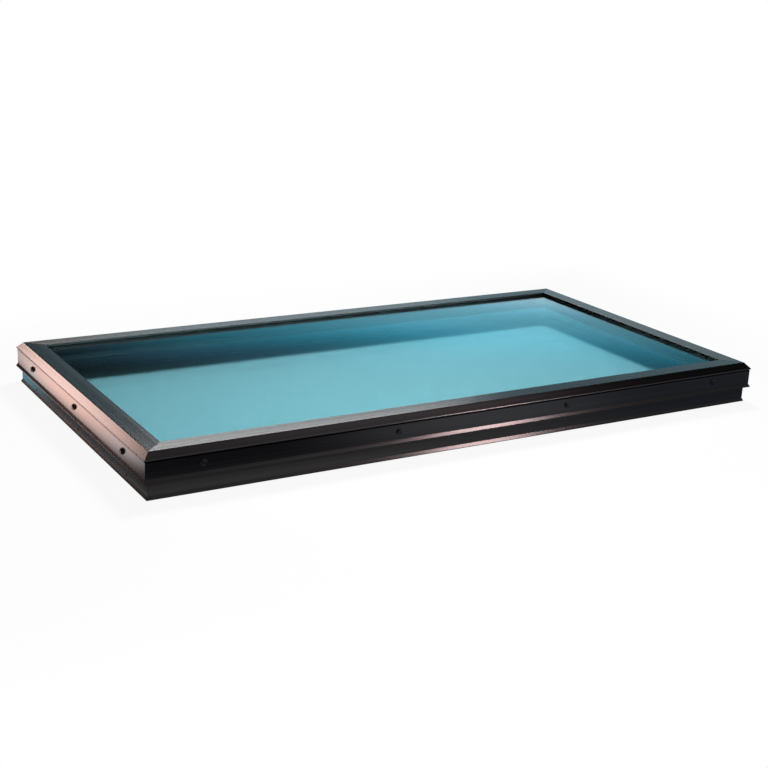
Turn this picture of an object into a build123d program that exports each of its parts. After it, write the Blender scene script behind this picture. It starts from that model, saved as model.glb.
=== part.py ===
from build123d import *
from math import hypot
import os

# A fixed roof skylight for a timber curb: a mitred base frame sits on the curb and carries an
# insulating glass unit, and a mitred retaining cap is screwed down over the edge of the glass.
# Units are millimetres. X runs along the long sides, Z is up, and the origin is the middle of
# the plan at the height of the base frame's lip.
# Sections are drawn in u and z: u is the distance in from the cap's nose, z the height.

# Roof curb that the skylight fits over
curb_length = 1257.3
curb_width = 647.7
curb_gap = 5.0
curb_lap = 30.5

# Foam seal on top of the curb
curb_seal_height = 5.5
curb_seal_width = 25.4

# Base frame
base_wall = 2.4
base_lip_kick = 2.6
chamber_height = 8.8
shelf_margin = 2.0
gutter_width = 11.6
gutter_height = 8.0
boss_height = 11.0
track_height = 4.3
track_wall = 1.2
weep_slot_length = 25.0
weep_slot_height = 4.0
fixing_hole_diameter = 5.5
fixing_hole_height = 9.8
base_key_length = 70.0

# Retaining cap
cap_wall = 2.2
flange_wall = 2.5
flange_reach = 44.2
flange_edge_wall = 2.4
flange_lip_drop = 1.7
chamfer_width = 11.0
chamfer_drop = 11.5
chamfer_radius = 2.0
nose_step = 1.6
nose_land = 1.6
shadow_groove_depth = 1.0
shadow_groove_height = 1.8
cap_height = 49.6
cap_lip_kick = 3.0
skirt_gap = 4.15

# Groove under the flange and the corner plates that lie in it
groove_rib = 1.2
groove_lip = 1.2
groove_lip_wall = 0.8
groove_setback = 0.4
groove_clearance = 0.6
corner_plate_length = 60.0

# Kicked lips and rounded edges of both extrusions
lip_height = 6.4
lip_land = 1.2
edge_radius = 0.5
mitre_gap = 0.25

# Insulating glass unit
pane_thickness = 6.0
air_gap = 10.0
glass_edge_gap = 5.15
pane_edge_chamfer = 0.6
sealant_width = 6.0
spacer_width = 7.5
spacer_wall = 0.8
spacer_shoulder = 2.0
spacer_key_leg = 30.0
butyl_thickness = 0.4
butyl_width = 4.0

# Gaskets and setting blocks
bed_gasket_height = 3.0
bed_gasket_width = 14.5
bed_gasket_inset = 1.0
cap_gasket_height = 3.4
cap_gasket_width = 14.9
gasket_ridges = 3
gasket_valley_share = 0.35
setting_block_length = 90.0

# Screws that hold the cap down on the base frame
screw_drop = 28.5
screw_end_distance = 100.0
long_side_screws = 4
short_side_screws = 3
screw_core_diameter = 4.1
screw_head_flats = 8.0
screw_head_height = 3.2
washer_diameter = 12.0
washer_thickness = 1.0
washer_bore_clearance = 0.1
washer_sides = 20
washer_bore_sides = 10
skirt_hole_diameter = 5.4

# Room left where one piece slides into another, and the overrun of cutting tools
seat_clearance = 0.2
overrun = 2.0

# Distances in from the nose, from the outside inwards
skirt_in = nose_step + cap_wall
leg_out = skirt_in + skirt_gap
leg_in = leg_out + base_wall
curb_face = leg_in + curb_gap
glass_edge = leg_in + glass_edge_gap
spacer_out = glass_edge + sealant_width
spacer_in = spacer_out + spacer_width
bed_gasket_out = glass_edge + bed_gasket_inset
bed_gasket_in = bed_gasket_out + bed_gasket_width
shelf_in = bed_gasket_in + shelf_margin
chamber_in = shelf_in - base_wall
gutter_in = shelf_in + gutter_width
gutter_leg_in = gutter_in + base_wall
cap_lip_out = cap_lip_kick - nose_step
track_in = leg_in - track_wall
base_lip_out = leg_out - base_lip_kick
cap_gasket_out = flange_reach - cap_gasket_width
flange_edge_out = flange_reach - flange_edge_wall

# Heights, from the lip of the base frame up
web_bottom = curb_lap + curb_seal_height
web_top = web_bottom + base_wall
shelf_bottom = web_top + chamber_height
shelf_top = shelf_bottom + base_wall
inner_pane_bottom = shelf_top + bed_gasket_height
inner_pane_top = inner_pane_bottom + pane_thickness
outer_pane_bottom = inner_pane_top + air_gap
outer_pane_top = outer_pane_bottom + pane_thickness
flange_bottom = outer_pane_top + cap_gasket_height
cap_top = flange_bottom + flange_wall
nose_top = cap_top - chamfer_drop
nose_bottom = nose_top - nose_land
shadow_groove_bottom = nose_bottom - shadow_groove_height
cap_lip_bottom = cap_top - cap_height
cap_lip_top = cap_lip_bottom + lip_height
gutter_top = web_top + gutter_height
screw_height = cap_top - screw_drop
boss_bottom = screw_height - boss_height / 2
boss_top = screw_height + boss_height / 2
track_bottom = screw_height - track_height / 2
track_top = screw_height + track_height / 2

# Plan sizes
cap_length = curb_length + 2 * curb_face
cap_width = curb_width + 2 * curb_face
glass_length = cap_length - 2 * glass_edge
glass_width = cap_width - 2 * glass_edge

# Inner face of the chamfer's wall, one wall thickness in from its outer face
chamfer_length = hypot(chamfer_width, chamfer_drop)
chamfer_slope = chamfer_drop / chamfer_width
chamfer_wall_u = cap_wall * chamfer_drop / chamfer_length
chamfer_wall_z = nose_top - cap_wall * chamfer_width / chamfer_length
chamfer_foot_z = chamfer_wall_z + (skirt_in - chamfer_wall_u) * chamfer_slope
chamfer_head_u = chamfer_wall_u + (flange_bottom - chamfer_wall_z) / chamfer_slope

# Groove for the corner plates, between the chamfer and the cap gasket
groove_out = chamfer_head_u + groove_setback + groove_rib
groove_in = cap_gasket_out - groove_setback - groove_rib
groove_bottom = outer_pane_top + groove_clearance
groove_seat = groove_bottom + groove_lip_wall

# One section plane for each side: its x runs in from the nose, its y up and its z along the side
side_planes = {
    "front": Plane(origin=(0, -cap_width / 2, 0), x_dir=(0, 1, 0), z_dir=(1, 0, 0)),
    "right": Plane(origin=(cap_length / 2, 0, 0), x_dir=(-1, 0, 0), z_dir=(0, 1, 0)),
    "back": Plane(origin=(0, cap_width / 2, 0), x_dir=(0, -1, 0), z_dir=(-1, 0, 0)),
    "left": Plane(origin=(-cap_length / 2, 0, 0), x_dir=(1, 0, 0), z_dir=(0, -1, 0)),
}
half_runs = {
    "front": cap_length / 2,
    "right": cap_width / 2,
    "back": cap_length / 2,
    "left": cap_width / 2,
}
screw_counts = {
    "front": long_side_screws,
    "right": short_side_screws,
    "back": long_side_screws,
    "left": short_side_screws,
}
sides = list(side_planes)
fixed_sides = ("left", "right")

# Signs of x and y at each corner of the plan
corners = {
    "front_left": (-1, -1),
    "front_right": (1, -1),
    "back_right": (1, 1),
    "back_left": (-1, 1),
}

os.makedirs("parts", exist_ok=True)


def save(piece, name):
    """Labels a finished piece and writes it to its own file."""
    piece.part.label = name
    export_step(piece.part, f"parts/{name}.step")


def face_plane(side, depth=0):
    """Plane seen from outside one side, with x along it and y up, at a depth in from the nose."""
    plane = side_planes[side]
    return Plane(origin=plane.origin, x_dir=plane.z_dir, z_dir=-plane.x_dir).offset(-depth)


def screw_places(side):
    """Places along one side, evenly spaced between the two end distances."""
    reach = half_runs[side] - screw_end_distance
    gaps = screw_counts[side] - 1
    return [reach * (2 * index / gaps - 1) for index in range(gaps + 1)]


def middle_places(side):
    """Places halfway between neighbouring screws."""
    places = screw_places(side)
    return [(near + far) / 2 for near, far in zip(places, places[1:])]


def section(outline):
    """Draws a closed section from corners that each give u, z and the corner's radius."""
    points = [(u, z) for u, z, radius in outline]
    radii = [radius for u, z, radius in outline]
    with BuildLine() as border:
        FilletPolyline(*points, radius=radii, close=True)
    make_face(border.edges())


def sharp(points):
    """Turns plain points into corners with no radius."""
    return [(u, z, 0) for u, z in points]


def run_along(side):
    """Extrudes the drawn section along its side and cuts both ends to a 45 degree mitre."""
    plane = side_planes[side]
    extrude(amount=half_runs[side] + cap_lip_out + overrun, both=True)
    for end in (plane.z_dir, -plane.z_dir):
        corner = plane.origin + end * half_runs[side]
        mitre = Plane(origin=corner, z_dir=end + plane.x_dir)
        split(bisect_by=mitre.offset(-mitre_gap / 2), keep=Keep.BOTTOM)


def drill(side, places, height, diameter, start, stop):
    """Cuts round holes into one side, from one depth to another."""
    with BuildSketch(face_plane(side, start)) as holes:
        with Locations(*[(place, height) for place in places]):
            Circle(diameter / 2)
    extrude(holes.sketch, amount=start - stop, mode=Mode.SUBTRACT)


def corner_outline(signs, start, stop, length):
    """Draws an L in plan at one corner, between two distances in from the nose."""
    x_sign, y_sign = signs
    outline = [
        (start, start),
        (length, start),
        (length, stop),
        (stop, stop),
        (stop, length),
        (start, length),
    ]
    points = [(x_sign * (cap_length / 2 - a), y_sign * (cap_width / 2 - b)) for a, b in outline]
    with BuildLine() as border:
        Polyline(*points, close=True)
    make_face(border.edges())


def ring(outer, inner):
    """Draws a rectangular ring in plan between two distances in from the nose."""
    Rectangle(cap_length - 2 * outer, cap_width - 2 * outer)
    Rectangle(cap_length - 2 * inner, cap_width - 2 * inner, mode=Mode.SUBTRACT)


def ridged_edge(start, stop, crest, valley):
    """Points of a gasket's ridged face, from one distance to another, crest first and last."""
    step = (stop - start) / (2 * gasket_ridges - 1)
    points = []
    for index in range(2 * gasket_ridges - 1):
        level = valley if index % 2 else crest
        points += [(start + index * step, level), (start + (index + 1) * step, level)]
    return points


# Base rails: outer leg with its kicked lip and a boss with a track for the cap screws, web,
# hollow chamber, shelf and gutter. The short sides have the holes for fixing it to the curb.
base_outline = [
    (base_lip_out, 0, edge_radius / 2),
    (base_lip_out, lip_land, edge_radius / 2),
    (leg_out, lip_height, 0),
    (leg_out, boss_bottom, 0),
    (skirt_in, boss_bottom, 0),
    (skirt_in, track_bottom, 0),
    (track_in, track_bottom, 0),
    (track_in, track_top, 0),
    (skirt_in, track_top, 0),
    (skirt_in, boss_top, 0),
    (leg_out, boss_top, 0),
    (leg_out, outer_pane_bottom, 0),
    (leg_in, outer_pane_bottom, 0),
    (leg_in, shelf_top, 0),
    (shelf_in, shelf_top, 0),
    (shelf_in, web_top, 0),
    (gutter_in, web_top, 0),
    (gutter_in, gutter_top, edge_radius),
    (gutter_leg_in, gutter_top, edge_radius),
    (gutter_leg_in, web_bottom, edge_radius),
    (leg_in, web_bottom, 0),
    (leg_in, lip_height, 0),
    (base_lip_out + base_wall, 0, 0),
]
for side in sides:
    with BuildPart() as base_rail:
        with BuildSketch(side_planes[side]):
            section(base_outline)
            with Locations(((leg_in + chamber_in) / 2, (web_top + shelf_bottom) / 2)):
                Rectangle(chamber_in - leg_in, chamber_height, mode=Mode.SUBTRACT)
        run_along(side)
        if side in fixed_sides:
            drill(
                side,
                screw_places(side),
                fixing_hole_height,
                fixing_hole_diameter,
                base_lip_out - overrun,
                leg_in + overrun,
            )
        with BuildSketch(face_plane(side, leg_out - overrun)):
            with Locations(*[(place, web_top + weep_slot_height / 2) for place in middle_places(side)]):
                Rectangle(weep_slot_length, weep_slot_height)
        extrude(amount=leg_out - shelf_in - 2 * overrun, mode=Mode.SUBTRACT)
    save(base_rail, f"base_rail_{side}")

# Base corner keys: L blocks that fill the chamber across each mitre
for corner, signs in corners.items():
    with BuildPart() as base_corner_key:
        with BuildSketch(Plane.XY.offset(web_top)):
            corner_outline(signs, leg_in + seat_clearance, chamber_in - seat_clearance, base_key_length)
        extrude(amount=chamber_height - seat_clearance)
    save(base_corner_key, f"base_corner_key_{corner}")

# Curb seals: foam lengths under the web, over the top of the curb
for side in sides:
    with BuildPart() as curb_seal:
        with BuildSketch(side_planes[side]):
            section(
                sharp(
                    [
                        (curb_face, curb_lap),
                        (curb_face + curb_seal_width, curb_lap),
                        (curb_face + curb_seal_width, web_bottom),
                        (curb_face, web_bottom),
                    ]
                )
            )
        run_along(side)
    save(curb_seal, f"curb_seal_{side}")

# Bed gaskets: flat on the shelf, ridged towards the inner pane
bed_valley = inner_pane_bottom - bed_gasket_height * gasket_valley_share
for side in sides:
    with BuildPart() as bed_gasket:
        with BuildSketch(side_planes[side]):
            crests = ridged_edge(bed_gasket_out, bed_gasket_in, inner_pane_bottom, bed_valley)
            section(sharp(crests + [(bed_gasket_in, shelf_top), (bed_gasket_out, shelf_top)]))
        run_along(side)
    save(bed_gasket, f"bed_gasket_{side}")

# Panes: polished sheets with arrised edges
for name, bottom in (("inner_pane", inner_pane_bottom), ("outer_pane", outer_pane_bottom)):
    with BuildPart() as pane:
        with BuildSketch(Plane.XY.offset(bottom)):
            Rectangle(glass_length, glass_width)
        extrude(amount=pane_thickness)
        chamfer(pane.edges().filter_by(Axis.Z, reverse=True), pane_edge_chamfer)
    save(pane, name)

# Spacer bars: hollow bars between the panes, cut square against the corner keys
spacer_bottom = inner_pane_top + butyl_thickness
spacer_top = outer_pane_bottom - butyl_thickness
spacer_outline = sharp(
    [
        (spacer_out, spacer_bottom + spacer_shoulder),
        (spacer_out + spacer_shoulder, spacer_bottom),
        (spacer_in, spacer_bottom),
        (spacer_in, spacer_top),
        (spacer_out + spacer_shoulder, spacer_top),
        (spacer_out, spacer_top - spacer_shoulder),
    ]
)
for side in sides:
    with BuildPart() as spacer_bar:
        with BuildSketch(side_planes[side]):
            section(spacer_outline)
            offset(amount=-spacer_wall, kind=Kind.INTERSECTION, mode=Mode.SUBTRACT)
        extrude(amount=half_runs[side] - spacer_in, both=True)
    save(spacer_bar, f"spacer_bar_{side}")

# Desiccant: the fill of drying beads in each spacer bar, between the legs of the corner keys
with BuildPart() as desiccant:
    for side in sides:
        with BuildSketch(side_planes[side]):
            section(spacer_outline)
            offset(amount=-spacer_wall - seat_clearance, kind=Kind.INTERSECTION, mode=Mode.REPLACE)
        extrude(amount=half_runs[side] - spacer_in - spacer_key_leg - seat_clearance, both=True)
save(desiccant, "desiccant")

# Spacer corner keys: a block in each corner with a leg into both bars
for corner, signs in corners.items():
    x_sign, y_sign = signs
    leg_start = spacer_out + spacer_shoulder + spacer_wall
    leg_stop = spacer_in - spacer_wall - seat_clearance
    with BuildPart() as spacer_corner_key:
        with BuildSketch(Plane.XY.offset(spacer_bottom + spacer_wall + seat_clearance)):
            corner_outline(signs, leg_start, leg_stop, spacer_in + spacer_key_leg)
        extrude(amount=spacer_top - spacer_bottom - 2 * spacer_wall - 2 * seat_clearance)
        with BuildSketch(Plane.XY.offset(spacer_bottom)):
            block = (spacer_out + spacer_in) / 2
            with Locations((x_sign * (cap_length / 2 - block), y_sign * (cap_width / 2 - block))):
                Rectangle(spacer_width, spacer_width)
        extrude(amount=spacer_top - spacer_bottom)
    save(spacer_corner_key, f"spacer_corner_key_{corner}")

# Butyl seals: a thin bead between the spacer and each pane
butyl_out = spacer_in - butyl_width
for name, bottom in (("inner_butyl_seal", inner_pane_top), ("outer_butyl_seal", spacer_top)):
    with BuildPart() as butyl_seal:
        with BuildSketch(Plane.XY.offset(bottom)):
            ring(butyl_out, spacer_in)
        extrude(amount=butyl_thickness)
    save(butyl_seal, name)

# Edge sealant: one bead round the unit, between the panes and outside the spacer
with BuildPart() as edge_sealant:
    with BuildSketch(Plane.XY.offset(inner_pane_top)):
        ring(glass_edge, spacer_out)
    extrude(amount=air_gap)
save(edge_sealant, "edge_sealant")

# Setting blocks: rubber blocks that centre the glass unit between the outer legs
block_top = outer_pane_bottom + pane_thickness / 2
for side in sides:
    for number, place in enumerate((middle_places(side)[0], middle_places(side)[-1]), start=1):
        with BuildPart() as setting_block:
            with BuildSketch(face_plane(side, leg_in)):
                with Locations((place, (shelf_top + block_top) / 2)):
                    Rectangle(setting_block_length, block_top - shelf_top)
            extrude(amount=-glass_edge_gap)
        save(setting_block, f"setting_block_{side}_{number}")

# Cap gaskets: ridged towards the glass, with a thin lip under the flange's down-turned edge
cap_valley = outer_pane_top + cap_gasket_height * gasket_valley_share
for side in sides:
    with BuildPart() as cap_gasket:
        with BuildSketch(side_planes[side]):
            crests = ridged_edge(cap_gasket_out, flange_reach, outer_pane_top, cap_valley)
            section(
                sharp(
                    crests
                    + [
                        (flange_reach, flange_bottom - flange_lip_drop),
                        (flange_edge_out, flange_bottom - flange_lip_drop),
                        (flange_edge_out, flange_bottom),
                        (cap_gasket_out, flange_bottom),
                    ]
                )
            )
        run_along(side)
    save(cap_gasket, f"cap_gasket_{side}")

# Cap rails: flange with a hooked groove below, chamfer, overhanging nose with a shadow groove
# under it, skirt and drip lip
cap_outline = [
    (flange_reach, cap_top, edge_radius),
    (chamfer_width, cap_top, chamfer_radius),
    (0, nose_top, chamfer_radius),
    (0, nose_bottom, edge_radius),
    (nose_step + shadow_groove_depth, nose_bottom, 0),
    (nose_step + shadow_groove_depth, shadow_groove_bottom, 0),
    (nose_step, shadow_groove_bottom, 0),
    (nose_step, cap_lip_top, 0),
    (-cap_lip_out, cap_lip_bottom + lip_land, edge_radius / 2),
    (-cap_lip_out, cap_lip_bottom, edge_radius / 2),
    (cap_wall - cap_lip_out, cap_lip_bottom, 0),
    (skirt_in, cap_lip_top, 0),
    (skirt_in, chamfer_foot_z, 0),
    (chamfer_head_u, flange_bottom, 0),
    (groove_out - groove_rib, flange_bottom, 0),
    (groove_out - groove_rib, groove_bottom, 0),
    (groove_out + groove_lip, groove_bottom, 0),
    (groove_out + groove_lip, groove_seat, 0),
    (groove_out, groove_seat, 0),
    (groove_out, flange_bottom, 0),
    (groove_in, flange_bottom, 0),
    (groove_in, groove_seat, 0),
    (groove_in - groove_lip, groove_seat, 0),
    (groove_in - groove_lip, groove_bottom, 0),
    (groove_in + groove_rib, groove_bottom, 0),
    (groove_in + groove_rib, flange_bottom, 0),
    (flange_edge_out, flange_bottom, 0),
    (flange_edge_out, flange_bottom - flange_lip_drop, 0),
    (flange_reach, flange_bottom - flange_lip_drop, edge_radius),
]
for side in sides:
    with BuildPart() as cap_rail:
        with BuildSketch(side_planes[side]):
            section(cap_outline)
        run_along(side)
        drill(side, screw_places(side), screw_height, skirt_hole_diameter, -overrun, leg_out)
    save(cap_rail, f"cap_rail_{side}")

# Cap corner plates: flat L plates that lie in the groove across each mitre
for corner, signs in corners.items():
    with BuildPart() as cap_corner_plate:
        with BuildSketch(Plane.XY.offset(groove_seat)):
            corner_outline(signs, groove_out + seat_clearance, groove_in - seat_clearance, corner_plate_length)
        extrude(amount=flange_bottom - groove_seat - seat_clearance)
    save(cap_corner_plate, f"cap_corner_plate_{corner}")

# Sealing washers: one under each screw head, flat on the skirt, drawn with few sides
screw_radius = screw_core_diameter / 2
with BuildPart() as sealing_washers:
    for side in sides:
        with BuildSketch(face_plane(side, nose_step)):
            with Locations(*[(place, screw_height) for place in screw_places(side)]):
                RegularPolygon(washer_diameter / 2, side_count=washer_sides)
                RegularPolygon(
                    screw_radius + washer_bore_clearance,
                    side_count=washer_bore_sides,
                    major_radius=False,
                    mode=Mode.SUBTRACT,
                )
        extrude(amount=washer_thickness)
save(sealing_washers, "sealing_washers")

# Cap screws: hexagon heads, with the shank drawn at its core diameter
screw_length = track_in - seat_clearance - nose_step + washer_thickness
with BuildPart() as cap_screws:
    for side in sides:
        seat = face_plane(side, nose_step - washer_thickness)
        spots = [(place, screw_height) for place in screw_places(side)]
        with BuildSketch(seat):
            with Locations(*spots):
                Circle(screw_radius)
        extrude(amount=-screw_length)
        with BuildSketch(seat):
            with Locations(*spots):
                RegularPolygon(screw_head_flats / 2, side_count=6, major_radius=False, rotation=30)
        extrude(amount=screw_head_height)
save(cap_screws, "cap_screws")
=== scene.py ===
"""Looks of the roof skylight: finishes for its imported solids, detailed cap screws and washers,
a pale studio floor, lamps and the camera. Lengths are in metres, in the frame of the solids:
X runs along the long sides, Y to the back and Z up."""

import math

import bmesh
import bpy
import numpy as np
from mathutils import Matrix, Vector


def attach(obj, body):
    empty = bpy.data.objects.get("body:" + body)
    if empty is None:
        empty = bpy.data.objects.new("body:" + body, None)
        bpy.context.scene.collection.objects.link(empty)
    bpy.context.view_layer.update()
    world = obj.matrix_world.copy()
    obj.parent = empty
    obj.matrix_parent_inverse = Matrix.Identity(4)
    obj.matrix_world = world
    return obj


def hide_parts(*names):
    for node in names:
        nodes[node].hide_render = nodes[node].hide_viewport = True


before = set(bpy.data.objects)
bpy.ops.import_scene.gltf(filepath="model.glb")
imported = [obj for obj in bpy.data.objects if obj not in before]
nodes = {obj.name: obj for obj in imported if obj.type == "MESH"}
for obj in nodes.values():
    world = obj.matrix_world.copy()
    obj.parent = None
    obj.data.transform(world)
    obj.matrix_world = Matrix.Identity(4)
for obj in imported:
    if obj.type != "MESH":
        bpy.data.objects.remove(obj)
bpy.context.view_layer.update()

# Sizes repeated from the solids
CAP_LENGTH = 1.2880
CAP_WIDTH = 0.6784
CAP_TOP = 0.0805
FLANGE_REACH = 0.0442
NOSE_TOP = 0.0690
NOSE_STEP = 0.0016
NOSE_BOTTOM = 0.0674
SHADOW_GROOVE_BOTTOM = 0.0656
SPACER_MIDDLE = 0.0636
SCREW_HEIGHT = 0.0520
SCREW_END = 0.1000
SCREW_LENGTH = 0.00835
HEAD_FLATS = 0.0080
HEAD_HEIGHT = 0.0032
CORE_RADIUS = 0.00205
WASHER_RADIUS = 0.0060
WASHER_BORE = 0.00215
WASHER_THICKNESS = 0.0010

# Finer sizes that only the scene has, and the rows of points along a thread
HEAD_DISH = 0.00035
HEAD_FLANGE_RADIUS = 0.0052
THREAD_PITCH = 0.0016
THREAD_HEIGHT = 0.00035
THREAD_START = 0.0036
THREAD_ROWS = 72
TIP_LENGTH = 0.0016
AXIS_RADIUS = 0.00001
MERGE_DISTANCE = 0.00003
VENT_PITCH = 0.006
VENT_RADIUS = 0.0006
INNER_EDGE_DEPTH = 0.0046
INNER_EDGE_HALF = 0.0040
FRAME_INSET = 0.007
FLOOR_REACH = 40.0

ALONG_X = (1.0, 0.0, 0.0)
ALONG_Y = (0.0, 1.0, 0.0)


# Node helpers


def add(tree, kind, inputs=None, **settings):
    """Adds a node, sets its properties and fills each named input with a value or a link."""
    node = tree.nodes.new(kind)
    for key, value in settings.items():
        setattr(node, key, value)
    for key, value in (inputs or {}).items():
        if isinstance(value, bpy.types.NodeSocket):
            tree.links.new(value, node.inputs[key])
        else:
            node.inputs[key].default_value = value
    return node


def maths(tree, operation, first, second=0.0, clamp=False):
    """Puts out one Math node's value."""
    node = add(tree, "ShaderNodeMath", {0: first, 1: second}, operation=operation, use_clamp=clamp)
    return node.outputs[0]


def blend(tree, factor, low, high):
    """Puts out a colour between two colours."""
    node = add(tree, "ShaderNodeMix", {0: factor, 6: low, 7: high}, data_type="RGBA")
    return node.outputs[2]


def remap(tree, value, low, high):
    """Puts out a value stretched from 0..1 to low..high."""
    return add(tree, "ShaderNodeMapRange", {0: value, 3: low, 4: high}).outputs[0]


def ease(tree, value, start, stop):
    """Puts out a smooth step that is 0 at the start and 1 at the stop."""
    return add(
        tree, "ShaderNodeMapRange", {0: value, 1: start, 2: stop}, interpolation_type="SMOOTHSTEP"
    ).outputs[0]


def ramp(tree, value, stops):
    """Puts out a colour that runs through the given places and colours."""
    node = add(tree, "ShaderNodeValToRGB", {0: value})
    elements = node.color_ramp.elements
    while len(elements) < len(stops):
        elements.new(0.5)
    for element, (place, tone) in zip(elements, stops):
        element.position, element.color = place, colour(*tone)
    return node.outputs[0]


def new_group(name, inputs, outputs):
    """Starts a node group from lists of (socket name, socket type, default)."""
    tree = bpy.data.node_groups.new(name, "ShaderNodeTree")
    for label, kind, default in inputs:
        socket = tree.interface.new_socket(label, in_out="INPUT", socket_type=kind)
        if default is not None:
            socket.default_value = default
    for label, kind in outputs:
        tree.interface.new_socket(label, in_out="OUTPUT", socket_type=kind)
    return tree, tree.nodes.new("NodeGroupInput").outputs, tree.nodes.new("NodeGroupOutput").inputs


def use(tree, group, **inputs):
    """Places a node group and fills its inputs, with spaces in their names written as underscores."""
    named = {key.replace("_", " "): value for key, value in inputs.items()}
    return add(tree, "ShaderNodeGroup", named, node_tree=group).outputs


def new_material(name):
    """Starts an empty material and gives its tree, its output socket and its object coordinates."""
    material = bpy.data.materials.new(name)
    material.use_nodes = True
    tree = material.node_tree
    tree.nodes.clear()
    surface = tree.nodes.new("ShaderNodeOutputMaterial").inputs["Surface"]
    place = tree.nodes.new("ShaderNodeTexCoord").outputs["Object"]
    return material, tree, surface, place


def colour(*channels):
    return (*channels, 1.0)


# Shared effects

FLOAT, VECTOR = "NodeSocketFloat", "NodeSocketVector"


def make_grain():
    """Noise stretched by a vector of waves per metre: a mask from 0 to 1 and a height."""
    tree, given, put = new_group(
        "grain",
        [("Place", VECTOR, None), ("Waves", VECTOR, (1.0, 1.0, 1.0)), ("Detail", FLOAT, 3.0)],
        [("Mask", FLOAT), ("Height", FLOAT)],
    )
    scaled = add(tree, "ShaderNodeVectorMath", {0: given["Place"], 1: given["Waves"]}, operation="MULTIPLY")
    noise = add(tree, "ShaderNodeTexNoise", {"Vector": scaled.outputs[0], "Scale": 1.0, "Detail": given["Detail"]})
    mask = add(tree, "ShaderNodeMapRange", {0: noise.outputs[0], 1: 0.3, 2: 0.7})
    tree.links.new(mask.outputs[0], put["Mask"])
    tree.links.new(noise.outputs[0], put["Height"])
    return tree


def make_rail_section():
    """Masks over the cap rails' section, u inwards from the side and z up. The wear mask is one minus the distance
    to the nose's edge over a width roughened by noise; it lightens that edge as wear and as a painted highlight. The
    groove mask is 1 in the shadow groove and on the skirt just below it, for painted shade. The inner edge mask is 1
    on the flange's inner edge, for a painted reflection."""
    tree, given, put = new_group(
        "rail_section",
        [("Place", VECTOR, None), ("Across", VECTOR, ALONG_Y), ("Half", FLOAT, 0.3), ("Width", FLOAT, 0.001)],
        [("Wear_and_highlight", FLOAT), ("Groove", FLOAT), ("Inner", FLOAT)],
    )
    across = add(tree, "ShaderNodeVectorMath", {0: given["Place"], 1: given["Across"]}, operation="DOT_PRODUCT")
    u = maths(tree, "SUBTRACT", given["Half"], maths(tree, "ABSOLUTE", across.outputs["Value"]))
    z = add(tree, "ShaderNodeSeparateXYZ", {0: given["Place"]}).outputs[2]
    point = add(tree, "ShaderNodeCombineXYZ", {0: u, 1: z}).outputs[0]
    # Wear on the nose's edge, whose lighter tone is also a painted highlight.
    nose = (0.0, NOSE_TOP, 0.0)
    gap = add(tree, "ShaderNodeVectorMath", {0: point, 1: nose}, operation="DISTANCE").outputs["Value"]
    patches = add(tree, "ShaderNodeTexNoise", {"Vector": given["Place"], "Scale": 45.0, "Detail": 4.0})
    reach = maths(tree, "MULTIPLY", given["Width"], remap(tree, patches.outputs[0], 0.6, 1.8))
    tree.links.new(maths(tree, "SUBTRACT", 1.0, maths(tree, "DIVIDE", gap, reach), clamp=True), put["Wear_and_highlight"])
    # Painted shade: the shadow groove and the skirt just below it are darkened into a shadow line.
    level = maths(tree, "ABSOLUTE", maths(tree, "SUBTRACT", z, (NOSE_BOTTOM + SHADOW_GROOVE_BOTTOM) / 2 - 0.0004))
    deep = ease(tree, u, NOSE_STEP - 0.0008, NOSE_STEP - 0.0002)
    deep = maths(tree, "MULTIPLY", deep, ease(tree, u, NOSE_STEP + 0.006, NOSE_STEP + 0.005))
    half = (NOSE_BOTTOM - SHADOW_GROOVE_BOTTOM) / 2
    tree.links.new(maths(tree, "MULTIPLY", deep, ease(tree, level, half + 0.0010, half + 0.0004)), put["Groove"])
    # Painted reflection: a mask over the flange's inner edge, which gets its own lighter tone.
    inner = maths(tree, "GREATER_THAN", u, FLANGE_REACH - 0.0003)
    level = maths(tree, "ABSOLUTE", maths(tree, "SUBTRACT", z, CAP_TOP - INNER_EDGE_DEPTH))
    tree.links.new(maths(tree, "MULTIPLY", inner, maths(tree, "LESS_THAN", level, INNER_EDGE_HALF)), put["Inner"])
    return tree


GRAIN = make_grain()
RAIL_SECTION = make_rail_section()


# Finishes

BRONZE_DARK = (0.041, 0.037, 0.037)
BRONZE_LIGHT = (0.063, 0.056, 0.053)
BRONZE_CLOUD = (0.047, 0.043, 0.042)
# Lighter bronze on the nose's edge: wear and a painted highlight.
BRONZE_WEAR_AND_HIGHLIGHT = (0.36, 0.33, 0.32)
# Near black painted shade for the shadow groove and the skirt below it.
BRONZE_PAINTED_GROOVE_SHADE = (0.004, 0.003, 0.003)
# Painted reflection on the flanges' inner edges, lighter on the long rails than on the short ones.
LONG_INNER_EDGE_REFLECTION = (0.170, 0.142, 0.132)
SHORT_INNER_EDGE_REFLECTION = (0.048, 0.043, 0.040)


def stretched(along, across_waves, along_waves):
    """Waves per metre across an extrusion and along it, as a vector."""
    return Vector((across_waves, across_waves, across_waves)) - Vector(along) * (across_waves - along_waves)


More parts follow.
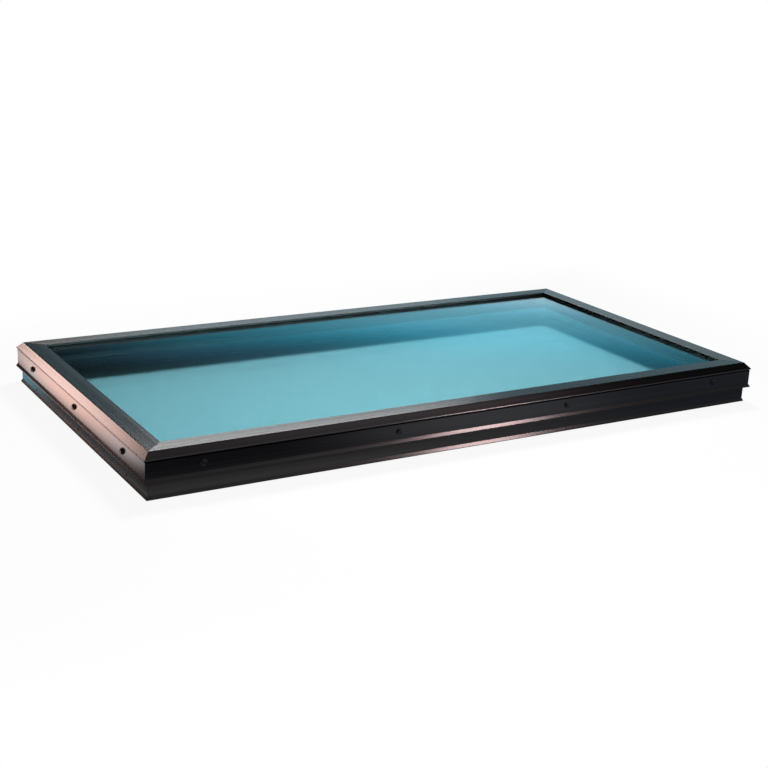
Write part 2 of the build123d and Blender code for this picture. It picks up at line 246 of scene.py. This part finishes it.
def bronze_anodised(name, along, half, inner_edge_reflection):
    """Dark bronze anodised extrusion: die lines along its length and a cloudy tone. Its nose edge is lighter, as
    wear and as a painted highlight, its groove line is near black painted shade, and its flange's inner edge has a
    painted reflection.
    """
    material, tree, surface, place = new_material(name)
    across = ALONG_Y if along == ALONG_X else ALONG_X
    lines = use(tree, GRAIN, Place=place, Waves=stretched(along, 2600.0, 3.0), Detail=2.0)
    streaks = use(tree, GRAIN, Place=place, Waves=stretched(along, 240.0, 0.7), Detail=3.0)
    clouds = use(tree, GRAIN, Place=place, Waves=(7.0, 7.0, 7.0), Detail=4.0)
    section = use(tree, RAIL_SECTION, Place=place, Across=across, Half=half, Width=0.0008)
    tone = blend(tree, streaks["Mask"], colour(*BRONZE_DARK), colour(*BRONZE_LIGHT))
    tone = blend(tree, maths(tree, "MULTIPLY", clouds["Mask"], 0.35), tone, colour(*BRONZE_CLOUD))
    # Wear and painted highlight on the nose's edge.
    tone = blend(tree, maths(tree, "MULTIPLY", section["Wear_and_highlight"], 0.2), tone, colour(*BRONZE_WEAR_AND_HIGHLIGHT))
    # Painted reflection on the flange's inner edge.
    tone = blend(tree, section["Inner"], tone, colour(*inner_edge_reflection))
    # Painted shade in and below the shadow groove.
    tone = blend(tree, section["Groove"], tone, colour(*BRONZE_PAINTED_GROOVE_SHADE))
    rough = maths(tree, "ADD", remap(tree, streaks["Mask"], 0.176, 0.242), remap(tree, lines["Mask"], 0.0, 0.02))
    bump = add(tree, "ShaderNodeBump", {"Strength": 0.25, "Distance": 0.00003, "Height": lines["Height"]})
    tangent = add(tree, "ShaderNodeCombineXYZ", {0: across[0], 1: across[1], 2: 0.35}).outputs[0]
    shader = add(
        tree,
        "ShaderNodeBsdfPrincipled",
        {
            "Base Color": tone,
            "Metallic": 1.0,
            "Roughness": rough,
            "Anisotropic": 0.8,
            "Tangent": tangent,
            "Normal": bump.outputs[0],
        },
    )
    tree.links.new(shader.outputs[0], surface)
    return material


def plain_finish(name, low, high, rough, waves, relief, metallic=0.0, detail=4.0):
    """Solid finish with a grained tone, grained gloss and a fine relief."""
    material, tree, surface, place = new_material(name)
    grain = use(tree, GRAIN, Place=place, Waves=waves, Detail=detail)
    shader = add(
        tree,
        "ShaderNodeBsdfPrincipled",
        {
            "Base Color": blend(tree, grain["Mask"], colour(*low), colour(*high)),
            "Metallic": metallic,
            "Roughness": remap(tree, grain["Mask"], *rough),
            "Normal": add(
                tree, "ShaderNodeBump", {"Strength": 0.6, "Distance": relief, "Height": grain["Height"]}
            ).outputs[0],
        },
    )
    tree.links.new(shader.outputs[0], surface)
    return material


def cellular_finish(name, low, high, rough, cells, relief):
    """Finish made of cells, such as foam or beads: each cell has its own tone and a rounded relief."""
    material, tree, surface, place = new_material(name)
    voronoi = add(tree, "ShaderNodeTexVoronoi", {"Vector": place, "Scale": cells})
    shade = add(tree, "ShaderNodeSeparateColor", {0: voronoi.outputs["Color"]}).outputs[0]
    shader = add(
        tree,
        "ShaderNodeBsdfPrincipled",
        {
            "Base Color": blend(tree, shade, colour(*low), colour(*high)),
            "Roughness": remap(tree, shade, *rough),
            "Normal": add(
                tree,
                "ShaderNodeBump",
                {"Strength": 0.8, "Distance": relief, "Height": voronoi.outputs["Distance"]},
                invert=True,
            ).outputs[0],
        },
    )
    tree.links.new(shader.outputs[0], surface)
    return material


def spacer_finish(name, along):
    """Dark satin spacer bar with die lines and, on its middle line, one small vent hole every few millimetres."""
    material, tree, surface, place = new_material(name)
    lines = use(tree, GRAIN, Place=place, Waves=stretched(along, 1800.0, 4.0), Detail=2.0)
    axes = add(tree, "ShaderNodeSeparateXYZ", {0: place}).outputs
    run = axes[0] if along == ALONG_X else axes[1]
    step = maths(tree, "SUBTRACT", maths(tree, "FRACT", maths(tree, "DIVIDE", run, VENT_PITCH)), 0.5)
    beside = maths(tree, "MULTIPLY", step, VENT_PITCH)
    above = maths(tree, "SUBTRACT", axes[2], SPACER_MIDDLE)
    point = add(tree, "ShaderNodeCombineXYZ", {0: beside, 1: above}).outputs[0]
    away = add(tree, "ShaderNodeVectorMath", {0: point}, operation="LENGTH").outputs["Value"]
    hole = maths(tree, "LESS_THAN", away, VENT_RADIUS)
    tone = blend(tree, lines["Mask"], colour(0.085, 0.072, 0.066), colour(0.12, 0.10, 0.09))
    shader = add(
        tree,
        "ShaderNodeBsdfPrincipled",
        {
            "Base Color": blend(tree, hole, tone, colour(0.004, 0.004, 0.004)),
            "Metallic": 1.0,
            "Roughness": remap(tree, lines["Mask"], 0.32, 0.45),
            "Normal": add(
                tree, "ShaderNodeBump", {"Strength": 0.4, "Distance": 0.00005, "Height": lines["Height"]}
            ).outputs[0],
        },
    )
    tree.links.new(shader.outputs[0], surface)
    return material


def pane_glass(name, tint, ripple):
    """Sheet glass with a tint and a faint roller wave. Lamp and bounce light pass through it as a plain filter."""
    material, tree, surface, place = new_material(name)
    wave = use(tree, GRAIN, Place=place, Waves=(6.0, 6.0, 6.0), Detail=1.0)
    haze = use(tree, GRAIN, Place=place, Waves=(90.0, 90.0, 90.0), Detail=4.0)
    glass = add(
        tree,
        "ShaderNodeBsdfPrincipled",
        {
            "Base Color": colour(*tint),
            "Metallic": 0.0,
            "Roughness": remap(tree, haze["Mask"], 0.0, 0.012),
            "IOR": 1.5,
            "Transmission Weight": 1.0,
            "Normal": add(
                tree, "ShaderNodeBump", {"Strength": 0.05, "Distance": ripple, "Height": wave["Height"]}
            ).outputs[0],
        },
    )
    filtered = add(tree, "ShaderNodeBsdfTransparent", {0: colour(*(math.sqrt(part) for part in tint))})
    path = add(tree, "ShaderNodeLightPath").outputs
    passing = maths(tree, "MAXIMUM", path["Is Shadow Ray"], path["Is Diffuse Ray"])
    mixed = add(tree, "ShaderNodeMixShader", {0: passing, 1: glass.outputs[0], 2: filtered.outputs[0]})
    tree.links.new(mixed.outputs[0], surface)
    return material


def dress(material, *starts):
    """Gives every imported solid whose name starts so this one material."""
    for name, node in nodes.items():
        if name.startswith(starts):
            node.data.materials.clear()
            node.data.materials.append(material)


EVEN = (1.0, 1.0, 1.0)
# The long and short rails differ in grain direction and in the painted reflection on their inner flange edges.
bronze_long = bronze_anodised("bronze_anodised_long", ALONG_X, CAP_WIDTH / 2, LONG_INNER_EDGE_REFLECTION)
bronze_short = bronze_anodised("bronze_anodised_short", ALONG_Y, CAP_LENGTH / 2, SHORT_INNER_EDGE_REFLECTION)
dress(bronze_long, "cap_rail_front", "cap_rail_back", "base_rail_front", "base_rail_back")
dress(bronze_short, "cap_rail_left", "cap_rail_right", "base_rail_left", "base_rail_right")
dress(
    plain_finish(
        "mill_aluminium", (0.52, 0.53, 0.54), (0.68, 0.69, 0.70), (0.28, 0.42), (60.0, 900.0, 900.0), 0.00004, 1.0
    ),
    "cap_corner_plate",
    "base_corner_key",
)
dress(
    cellular_finish("foam_seal", (0.016, 0.016, 0.018), (0.034, 0.034, 0.037), (0.85, 0.98), 1400.0, 0.0003),
    "curb_seal",
)
gasket_rubber = plain_finish(
    "gasket_rubber", (0.010, 0.010, 0.010), (0.018, 0.018, 0.018), (0.55, 0.72), Vector(EVEN) * 900.0, 0.00003
)
dress(gasket_rubber, "bed_gasket", "cap_gasket")
dress(pane_glass("tinted_glass", (0.60, 0.93, 1.0), 0.00002), "outer_pane")
dress(pane_glass("clear_glass", (0.955, 0.985, 0.98), 0.00002), "inner_pane")
dress(spacer_finish("spacer_aluminium_long", ALONG_X), "spacer_bar_front", "spacer_bar_back")
dress(spacer_finish("spacer_aluminium_short", ALONG_Y), "spacer_bar_left", "spacer_bar_right")
dress(
    plain_finish(
        "key_plastic", (0.020, 0.020, 0.021), (0.030, 0.030, 0.031), (0.4, 0.55), Vector(EVEN) * 700.0, 0.00002
    ),
    "spacer_corner_key",
)
dress(
    cellular_finish("desiccant_beads", (0.42, 0.36, 0.28), (0.62, 0.56, 0.46), (0.7, 0.9), 900.0, 0.0004),
    "desiccant",
)
dress(
    plain_finish("butyl", (0.008, 0.008, 0.008), (0.014, 0.014, 0.014), (0.35, 0.6), Vector(EVEN) * 350.0, 0.0001),
    "inner_butyl_seal",
    "outer_butyl_seal",
)
dress(
    plain_finish(
        "edge_sealant", (0.018, 0.018, 0.020), (0.030, 0.030, 0.033), (0.4, 0.62), Vector(EVEN) * 240.0, 0.0002
    ),
    "edge_sealant",
)
dress(
    plain_finish(
        "block_rubber", (0.024, 0.024, 0.024), (0.040, 0.040, 0.040), (0.6, 0.8), Vector(EVEN) * 600.0, 0.00005
    ),
    "setting_block",
)
washer_rubber = plain_finish(
    "washer_rubber", (0.012, 0.012, 0.012), (0.020, 0.020, 0.020), (0.55, 0.75), Vector(EVEN) * 1500.0, 0.00002
)
black_steel = plain_finish(
    "black_steel", (0.012, 0.012, 0.013), (0.030, 0.029, 0.029), (0.20, 0.34), Vector(EVEN) * 1200.0, 0.00002, 0.6
)


# Cap screws and washers


def spun_surface(radius, height):
    """Closed surface of one turned piece: row k of the grid holds radius[k](angle) at height[k], and its quads join
    each row to the next and the last angle to the first."""
    rows, turns = radius.shape
    angle = np.linspace(0.0, 2.0 * np.pi, turns, endpoint=False)
    points = np.stack([radius * np.cos(angle), radius * np.sin(angle), height], axis=-1).reshape(-1, 3)
    row, turn = np.meshgrid(np.arange(rows - 1), np.arange(turns), indexing="ij")
    after = (turn + 1) % turns
    this, above = row * turns, (row + 1) * turns
    quads = np.stack([this + turn, this + after, above + after, above + turn], -1)
    return points, quads.reshape(-1, 4)


def stacked(pieces):
    """Joins several surfaces into one list of points and one list of quads."""
    starts = np.cumsum([0] + [len(points) for points, quads in pieces[:-1]])
    points = np.concatenate([points for points, quads in pieces])
    quads = np.concatenate([quads + start for (_, quads), start in zip(pieces, starts)])
    return points, quads


def screw_surface(turns=72):
    """Hexagon washer head screw, axis along Z with the seat at 0: the head is the smaller of a hexagon,
    apothem over cosine of the angle to the nearest flat, and a cone that trims its corners; the shank is the core
    radius plus a sawtooth ridge of angle less height over pitch, faded in below the skirt and out at the tip."""
    angle = np.linspace(0.0, 2.0 * np.pi, turns, endpoint=False)
    to_flat = (angle + np.pi / 6.0) % (np.pi / 3.0) - np.pi / 6.0
    hexagon = HEAD_FLATS / 2.0 / np.cos(to_flat)
    head = np.array(
        [
            (AXIS_RADIUS, HEAD_HEIGHT - HEAD_DISH),
            (0.0022, HEAD_HEIGHT - HEAD_DISH),
            (0.0028, HEAD_HEIGHT),
            (0.0036, HEAD_HEIGHT),
            (0.0041, HEAD_HEIGHT - 0.0003),
            (0.0047, HEAD_HEIGHT - 0.0007),
            (0.0047, 0.0012),
        ]
    )
    skirt = np.array(
        [
            (HEAD_FLANGE_RADIUS - 0.0004, 0.0010),
            (HEAD_FLANGE_RADIUS, 0.0006),
            (HEAD_FLANGE_RADIUS, 0.0002),
            (HEAD_FLANGE_RADIUS - 0.0002, 0.0),
            (CORE_RADIUS, 0.0),
        ]
    )
    depth = np.linspace(-0.0002, -SCREW_LENGTH, THREAD_ROWS)
    ridge = np.abs((angle[None, :] / (2.0 * np.pi) - depth[:, None] / THREAD_PITCH) % 1.0 - 0.5) * 2.0
    fade = np.clip((-THREAD_START - depth) / (THREAD_PITCH / 2.0), 0.0, 1.0)
    tip = np.clip((depth + SCREW_LENGTH) / TIP_LENGTH, 0.0, 1.0) * 0.55 + 0.45
    thread = THREAD_HEIGHT * np.clip(1.6 * ridge - 0.6, 0.0, 1.0) * fade[:, None]
    shank = (CORE_RADIUS + thread) * tip[:, None]
    radius = np.concatenate(
        [
            np.minimum(hexagon[None, :], head[:, :1]),
            np.repeat(skirt[:, :1], turns, axis=1),
            shank,
            np.full((1, turns), AXIS_RADIUS),
        ]
    )
    level = np.concatenate([head[:, 1], skirt[:, 1], depth, [-SCREW_LENGTH]])
    return spun_surface(radius, np.repeat(level[:, None], turns, axis=1))


def washer_surface(turns=72, around=20):
    """Rubber washer pressed flat: a ring whose section is a rounded rectangle, a superellipse of power four."""
    phase = np.linspace(0.0, 2.0 * np.pi, around + 1)
    middle, half = (WASHER_RADIUS + WASHER_BORE) / 2.0, (WASHER_RADIUS - WASHER_BORE) / 2.0
    radius = middle + half * np.sign(np.cos(phase)) * np.abs(np.cos(phase)) ** 0.5
    level = -WASHER_THICKNESS / 2.0 + WASHER_THICKNESS / 2.0 * np.sign(np.sin(phase)) * np.abs(np.sin(phase)) ** 0.5
    return spun_surface(np.repeat(radius[:, None], turns, axis=1), np.repeat(level[:, None], turns, axis=1))


def seats():
    """Frames of the screws' seats: for each one its place and the directions along the side, up and outwards."""
    up = np.array((0.0, 0.0, 1.0))
    found = []
    for outwards, half, run, count in (
        ((0.0, -1.0, 0.0), CAP_WIDTH / 2, CAP_LENGTH / 2, 4),
        ((1.0, 0.0, 0.0), CAP_LENGTH / 2, CAP_WIDTH / 2, 3),
        ((0.0, 1.0, 0.0), CAP_WIDTH / 2, CAP_LENGTH / 2, 4),
        ((-1.0, 0.0, 0.0), CAP_LENGTH / 2, CAP_WIDTH / 2, 3),
    ):
        outwards = np.array(outwards)
        along = np.cross(up, outwards)
        for place in np.linspace(SCREW_END - run, run - SCREW_END, count):
            middle = outwards * (half - NOSE_STEP + WASHER_THICKNESS) + along * place + up * SCREW_HEIGHT
            found.append((middle, np.stack([along, up, outwards])))
    return found


def set_at_seats(points, quads, turned):
    """Copies one turned piece to every seat, each turned about its own axis by its own angle."""
    pieces = []
    for (middle, axes), angle in zip(seats(), turned):
        spin = np.array(
            [(math.cos(angle), math.sin(angle), 0.0), (-math.sin(angle), math.cos(angle), 0.0), (0.0, 0.0, 1.0)]
        )
        pieces.append((points @ spin @ axes + middle, quads))
    return stacked(pieces)


def new_piece(name, points, quads, material, smooth_angle):
    """Makes a mesh object from points and quads, with its faces turned outwards and its doubles merged."""
    mesh = bpy.data.meshes.new(name)
    mesh.from_pydata(points.tolist(), [], quads.tolist())
    shape = bmesh.new()
    shape.from_mesh(mesh)
    bmesh.ops.remove_doubles(shape, verts=shape.verts, dist=MERGE_DISTANCE)
    bmesh.ops.recalc_face_normals(shape, faces=shape.faces)
    shape.to_mesh(mesh)
    shape.free()
    mesh.polygons.foreach_set("use_smooth", np.ones(len(mesh.polygons), bool))
    mesh.set_sharp_from_angle(angle=math.radians(smooth_angle))
    mesh.materials.append(material)
    piece = bpy.data.objects.new(name, mesh)
    bpy.context.scene.collection.objects.link(piece)
    return piece


random = np.random.default_rng(7)
seat_count = len(seats())
screws = new_piece(
    "threaded_cap_screws",
    *set_at_seats(*screw_surface(), random.uniform(-0.35, 0.35, seat_count) + math.pi / 6),
    black_steel,
    32.0,
)
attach(screws, "root")
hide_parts("cap_screws")
washers = new_piece(
    "pressed_sealing_washers", *set_at_seats(*washer_surface(), np.zeros(seat_count)), washer_rubber, 50.0
)
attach(washers, "root")
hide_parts("sealing_washers")


# Floor, lamps and surroundings


def bearing(azimuth, elevation):
    """Direction from an angle to the right of +Y and an angle above the floor, in degrees."""
    side, rise = math.radians(azimuth), math.radians(elevation)
    return Vector((math.sin(side) * math.cos(rise), math.cos(side) * math.cos(rise), math.sin(rise)))


def new_lamp(name, place, target, size, radiance, tint, pieces=(), spread=180.0):
    """Area lamp of a given radiance, facing a target, whose light spreads over an angle in degrees. With pieces, it
    is seen only in reflections, on the screws and on the solids whose names start so. Without, it only lights matt
    surfaces."""
    lamp = bpy.data.lights.new(name, "AREA")
    lamp.shape = "RECTANGLE"
    lamp.size, lamp.size_y = size
    lamp.energy = 4.0 * size[0] * size[1] * radiance
    lamp.color = tint
    lamp.spread = math.radians(spread)
    piece = bpy.data.objects.new(name, lamp)
    piece.location = place
    piece.rotation_euler = (Vector(target) - Vector(place)).to_track_quat("-Z", "Y").to_euler()
    piece.visible_camera = False
    piece.visible_transmission = False
    piece.visible_diffuse = not pieces
    piece.visible_glossy = bool(pieces)
    bpy.context.scene.collection.objects.link(piece)
    if pieces:
        mirrors = bpy.data.collections.new(name + "_mirrors")
        solids = [node for label, node in nodes.items() if label.startswith(pieces)]
        for mirror in [screws, washers] + solids:
            mirrors.objects.link(mirror)
        piece.light_linking.receiver_collection = mirrors


MIDDLE = Vector((0.0, 0.0, 0.05))
PINK, WARM, NEUTRAL = (1.0, 0.80, 0.81), (1.0, 0.72, 0.65), (1.0, 1.0, 1.0)
new_lamp("key", (0.87, 0.90, 1.90), (-0.346, -0.6, 0.0), (0.55, 0.55), 14.3, NEUTRAL, spread=75.7)
new_lamp(
    "back_softbox", MIDDLE + bearing(22.0, 45.5) * 3.2, MIDDLE, (2.0, 1.7), 9.0, NEUTRAL, ("cap_rail", "base_rail")
)
LEFT_SKIRT = (-0.64, 0.0, 0.07)
LEFT_RAILS = ("cap_rail_left", "base_rail_left")
new_lamp("left_strip", (-1.315, 1.79, 0.64), LEFT_SKIRT, (0.52, 0.34), 8.6, WARM, LEFT_RAILS)
LIPS = Vector((0.06, -0.33, 0.03))
FRONT_RAILS = ("cap_rail_front", "base_rail_front")
new_lamp("front_lamp", LIPS + bearing(143.0, 27.5) * 2.4, LIPS, (0.32, 0.3), 40.0, PINK, FRONT_RAILS)


def spot(tree, place, middle, reach):
    """Puts out a soft oval on the floor: 1 at its middle and 0 beyond its reach in X and Y."""
    offset = add(tree, "ShaderNodeVectorMath", {0: place, 1: (*middle, 0.0)}, operation="SUBTRACT").outputs[0]
    shares = add(tree, "ShaderNodeVectorMath", {0: offset, 1: (*reach, 1.0)}, operation="DIVIDE").outputs[0]
    away = add(tree, "ShaderNodeVectorMath", {0: shares}, operation="LENGTH").outputs["Value"]
    return ease(tree, away, 1.0, 0.05)


def floor_material():
    """Pale floor. Inside the frame it is plainly lit, but straight to the camera, as through holes, it is painted
    dark as shade. Outside it is white to the camera but for the shadow. In reflections it is a dark floor glowing
    with painted
    light: soft pools along the frame, in front of it, on its right and at its back, and a warm one on its left."""
    material, tree, surface, place = new_material("pale_floor")
    path = add(tree, "ShaderNodeLightPath").outputs
    axes = add(tree, "ShaderNodeSeparateXYZ", {0: place}).outputs
    beside = maths(
        tree,
        "MAXIMUM",
        maths(tree, "SUBTRACT", maths(tree, "ABSOLUTE", axes[0]), CAP_LENGTH / 2 - FRAME_INSET),
        maths(tree, "SUBTRACT", maths(tree, "ABSOLUTE", axes[1]), CAP_WIDTH / 2 - FRAME_INSET),
    )
    outside = maths(tree, "GREATER_THAN", beside, 0.0)
    inside = maths(tree, "SUBTRACT", 1.0, outside)
    glancing = maths(tree, "MAXIMUM", path["Is Glossy Ray"], path["Is Transmission Ray"])
    # Painted light seen only in reflections: the floor glows in soft pools along the frame, in front and at the
    # sides.
    rightwards = ease(tree, axes[0], -0.3, 0.6)
    near = blend(tree, rightwards, colour(0.56, 0.60, 0.63), colour(0.16, 0.20, 0.26))
    left = blend(tree, ease(tree, axes[1], 0.15, 0.42), colour(0.06, 0.06, 0.065), colour(0.40, 1.05, 1.35))
    near = blend(tree, ease(tree, axes[0], -0.62, -0.66), near, left)
    beyond = blend(tree, rightwards, colour(0.06, 0.07, 0.09), colour(0.19, 0.24, 0.30))
    glow = blend(tree, ease(tree, beside, 0.03, 0.10), near, beyond)
    right = maths(tree, "MULTIPLY", ease(tree, axes[0], 0.66, 0.80), ease(tree, axes[1], -0.34, -0.20))
    back = maths(tree, "MULTIPLY", ease(tree, axes[1], 0.36, 0.50), ease(tree, axes[0], -0.55, -0.40))
    glow = blend(tree, maths(tree, "MAXIMUM", right, back), glow, colour(0.55, 0.57, 0.60))
    glow = blend(tree, spot(tree, place, (0.08, -0.48), (0.46, 0.12)), glow, colour(0.86, 1.0, 1.14))
    bright = maths(
        tree, "MULTIPLY", spot(tree, place, (-0.72, 0.22), (0.16, 0.55)), ease(tree, axes[0], -0.671, -0.691)
    )
    strength = remap(tree, bright, 1.0, 5.0)
    warm = blend(tree, ease(tree, bright, 0.2, 0.9), colour(1.0, 0.86, 0.86), colour(1.0, 0.64, 0.54))
    glow = blend(tree, ease(tree, bright, 0.0, 0.3), glow, warm)
    # Painted shade: seen straight by the camera, as through holes, the floor inside the frame is painted dark.
    painted_shade_through_holes = maths(tree, "MULTIPLY", inside, path["Is Camera Ray"])
    paint = blend(tree, painted_shade_through_holes, colour(0.9, 0.9, 0.9), colour(0.04, 0.04, 0.04))
    lit = add(tree, "ShaderNodeBsdfDiffuse", {0: paint})
    white = add(tree, "ShaderNodeEmission", {0: colour(1.0, 1.0, 1.0), 1: 1.0})
    # The painted light of the pools, as emission.
    studio = add(tree, "ShaderNodeEmission", {0: glow, 1: strength})
    seen = maths(tree, "MULTIPLY", path["Is Camera Ray"], outside)
    share = maths(tree, "MULTIPLY", seen, remap(tree, ease(tree, beside, 0.05, 0.6), 0.93, 1.0))
    mixed = add(tree, "ShaderNodeMixShader", {0: share, 1: lit.outputs[0], 2: white.outputs[0]})
    mixed = add(
        tree,
        "ShaderNodeMixShader",
        {0: maths(tree, "MULTIPLY", glancing, outside), 1: mixed.outputs[0], 2: studio.outputs[0]},
    )
    tree.links.new(mixed.outputs[0], surface)
    return material


def new_floor(reach):
    """Flat square floor at height zero."""
    mesh = bpy.data.meshes.new("floor")
    corners = np.array([(-1.0, -1.0), (1.0, -1.0), (1.0, 1.0), (-1.0, 1.0)]) * reach
    mesh.from_pydata([(x, y, 0.0) for x, y in corners.tolist()], [], [(0, 1, 2, 3)])
    mesh.materials.append(floor_material())
    floor = bpy.data.objects.new("floor", mesh)
    bpy.context.scene.collection.objects.link(floor)


new_floor(FLOOR_REACH)


GLOW_BY_HEIGHT = [
    (0.0, (0.10, 0.12, 0.14)),
    (0.10, (0.20, 0.26, 0.30)),
    (0.16, (0.44, 0.60, 0.68)),
    (0.20, (0.66, 0.98, 1.10)),
    (0.225, (0.80, 1.20, 1.38)),
    (0.239, (0.50, 0.82, 0.98)),
    (0.2435, (0.30, 0.65, 0.80)),
    (0.248, (0.208, 0.504, 0.616)),
    (0.254, (0.152, 0.400, 0.496)),
    (0.258, (0.124, 0.360, 0.456)),
    (0.264, (0.068, 0.272, 0.364)),
    (0.272, (0.030, 0.160, 0.216)),
    (0.278, (0.026, 0.102, 0.138)),
    (0.284, (0.024, 0.060, 0.088)),
    (0.296, (0.0096, 0.016, 0.018)),
]
LIGHT_BY_SIDE = [
    (0.36, (0.34, 0.33, 0.36)),
    (0.48, (0.60, 0.61, 0.67)),
    (0.545, (0.58, 0.59, 0.65)),
    (0.59, (0.10, 0.10, 0.11)),
    (0.62, (0.01, 0.01, 0.01)),
]


def set_world():
    """White to the camera and straight through glass, and a soft even light on matt surfaces. In reflections it is a
    dark studio with a pale teal glow low behind on the right, a soft light high in front and a dim one at the
    sides."""
    world = bpy.data.worlds.new("studio")
    bpy.context.scene.world = world
    world.use_nodes = True
    tree = world.node_tree
    tree.nodes.clear()
    path = add(tree, "ShaderNodeLightPath").outputs
    x, y, z = add(
        tree, "ShaderNodeSeparateXYZ", {0: tree.nodes.new("ShaderNodeTexCoord").outputs["Generated"]}
    ).outputs
    glow = ramp(tree, z, GLOW_BY_HEIGHT)
    fading = remap(tree, ease(tree, x, 0.52, 0.61), 1.81, 1.32)
    glow = add(tree, "ShaderNodeVectorMath", {0: glow, "Scale": fading}, operation="SCALE").outputs[0]
    behind = maths(tree, "MULTIPLY", ease(tree, x, 0.25, 0.39), ease(tree, y, 0.2, 0.5))
    high = ramp(tree, x, LIGHT_BY_SIDE)
    ahead = maths(tree, "MULTIPLY", ease(tree, z, 0.4, 0.7), ease(tree, y, 0.15, -0.15))
    leftwards = maths(tree, "MULTIPLY", ease(tree, x, -0.15, -0.45), ease(tree, y, 0.75, 0.55))
    aside = maths(tree, "MAXIMUM", leftwards, ease(tree, x, 0.78, 0.92))
    aside = maths(tree, "MAXIMUM", aside, ease(tree, y, -0.1, -0.5))
    reflected = blend(tree, aside, colour(0.010, 0.011, 0.013), colour(0.30, 0.32, 0.35))
    reflected = blend(tree, behind, reflected, glow)
    reflected = blend(tree, ahead, reflected, high)
    mirrored = maths(tree, "MINIMUM", path["Glossy Depth"], 1.0)
    straight = maths(tree, "SUBTRACT", path["Is Transmission Ray"], mirrored, clamp=True)
    seen = maths(tree, "MAXIMUM", path["Is Camera Ray"], straight)
    soft = add(tree, "ShaderNodeBackground", {0: colour(1.0, 1.0, 1.0), 1: 0.06})
    studio = add(tree, "ShaderNodeBackground", {0: reflected, 1: 1.0})
    white = add(tree, "ShaderNodeBackground", {0: colour(1.0, 1.0, 1.0), 1: 1.0})
    lit = add(tree, "ShaderNodeMixShader", {0: mirrored, 1: soft.outputs[0], 2: studio.outputs[0]})
    mixed = add(tree, "ShaderNodeMixShader", {0: seen, 1: lit.outputs[0], 2: white.outputs[0]})
    output = tree.nodes.new("ShaderNodeOutputWorld")
    tree.links.new(mixed.outputs[0], output.inputs["Surface"])


set_world()


# Camera


def set_camera(azimuth, elevation, roll, distance, target, focal_share):
    """Camera at an angle to the right of -Y seen from above, an angle above the floor and a roll, in degrees, which
    looks at a target from a distance. The focal length is a share of the picture's width."""
    side, rise, lean = (math.radians(angle) for angle in (azimuth, elevation, roll))
    back = Vector((math.sin(side) * math.cos(rise), -math.cos(side) * math.cos(rise), math.sin(rise)))
    level = Vector((math.cos(side), math.sin(side), 0.0))
    above = back.cross(level)
    right = level * math.cos(lean) + above * math.sin(lean)
    up = above * math.cos(lean) - level * math.sin(lean)
    camera = bpy.data.cameras.new("camera")
    camera.sensor_width = 36.0
    camera.lens = 36.0 * focal_share
    camera.clip_end = 200.0
    piece = bpy.data.objects.new("camera", camera)
    turn = Matrix((right, up, back)).transposed().to_4x4()
    piece.matrix_world = Matrix.Translation(Vector(target) + back * distance) @ turn
    bpy.context.scene.collection.objects.link(piece)
    bpy.context.scene.camera = piece


set_camera(
    azimuth=-31.410,
    elevation=17.618,
    roll=2.729,
    distance=2.5199,
    target=(-0.1156, -0.1725, 0.0805),
    focal_share=1376.8 / 768.0,
)
bpy.context.scene.view_settings.view_transform = "Standard"
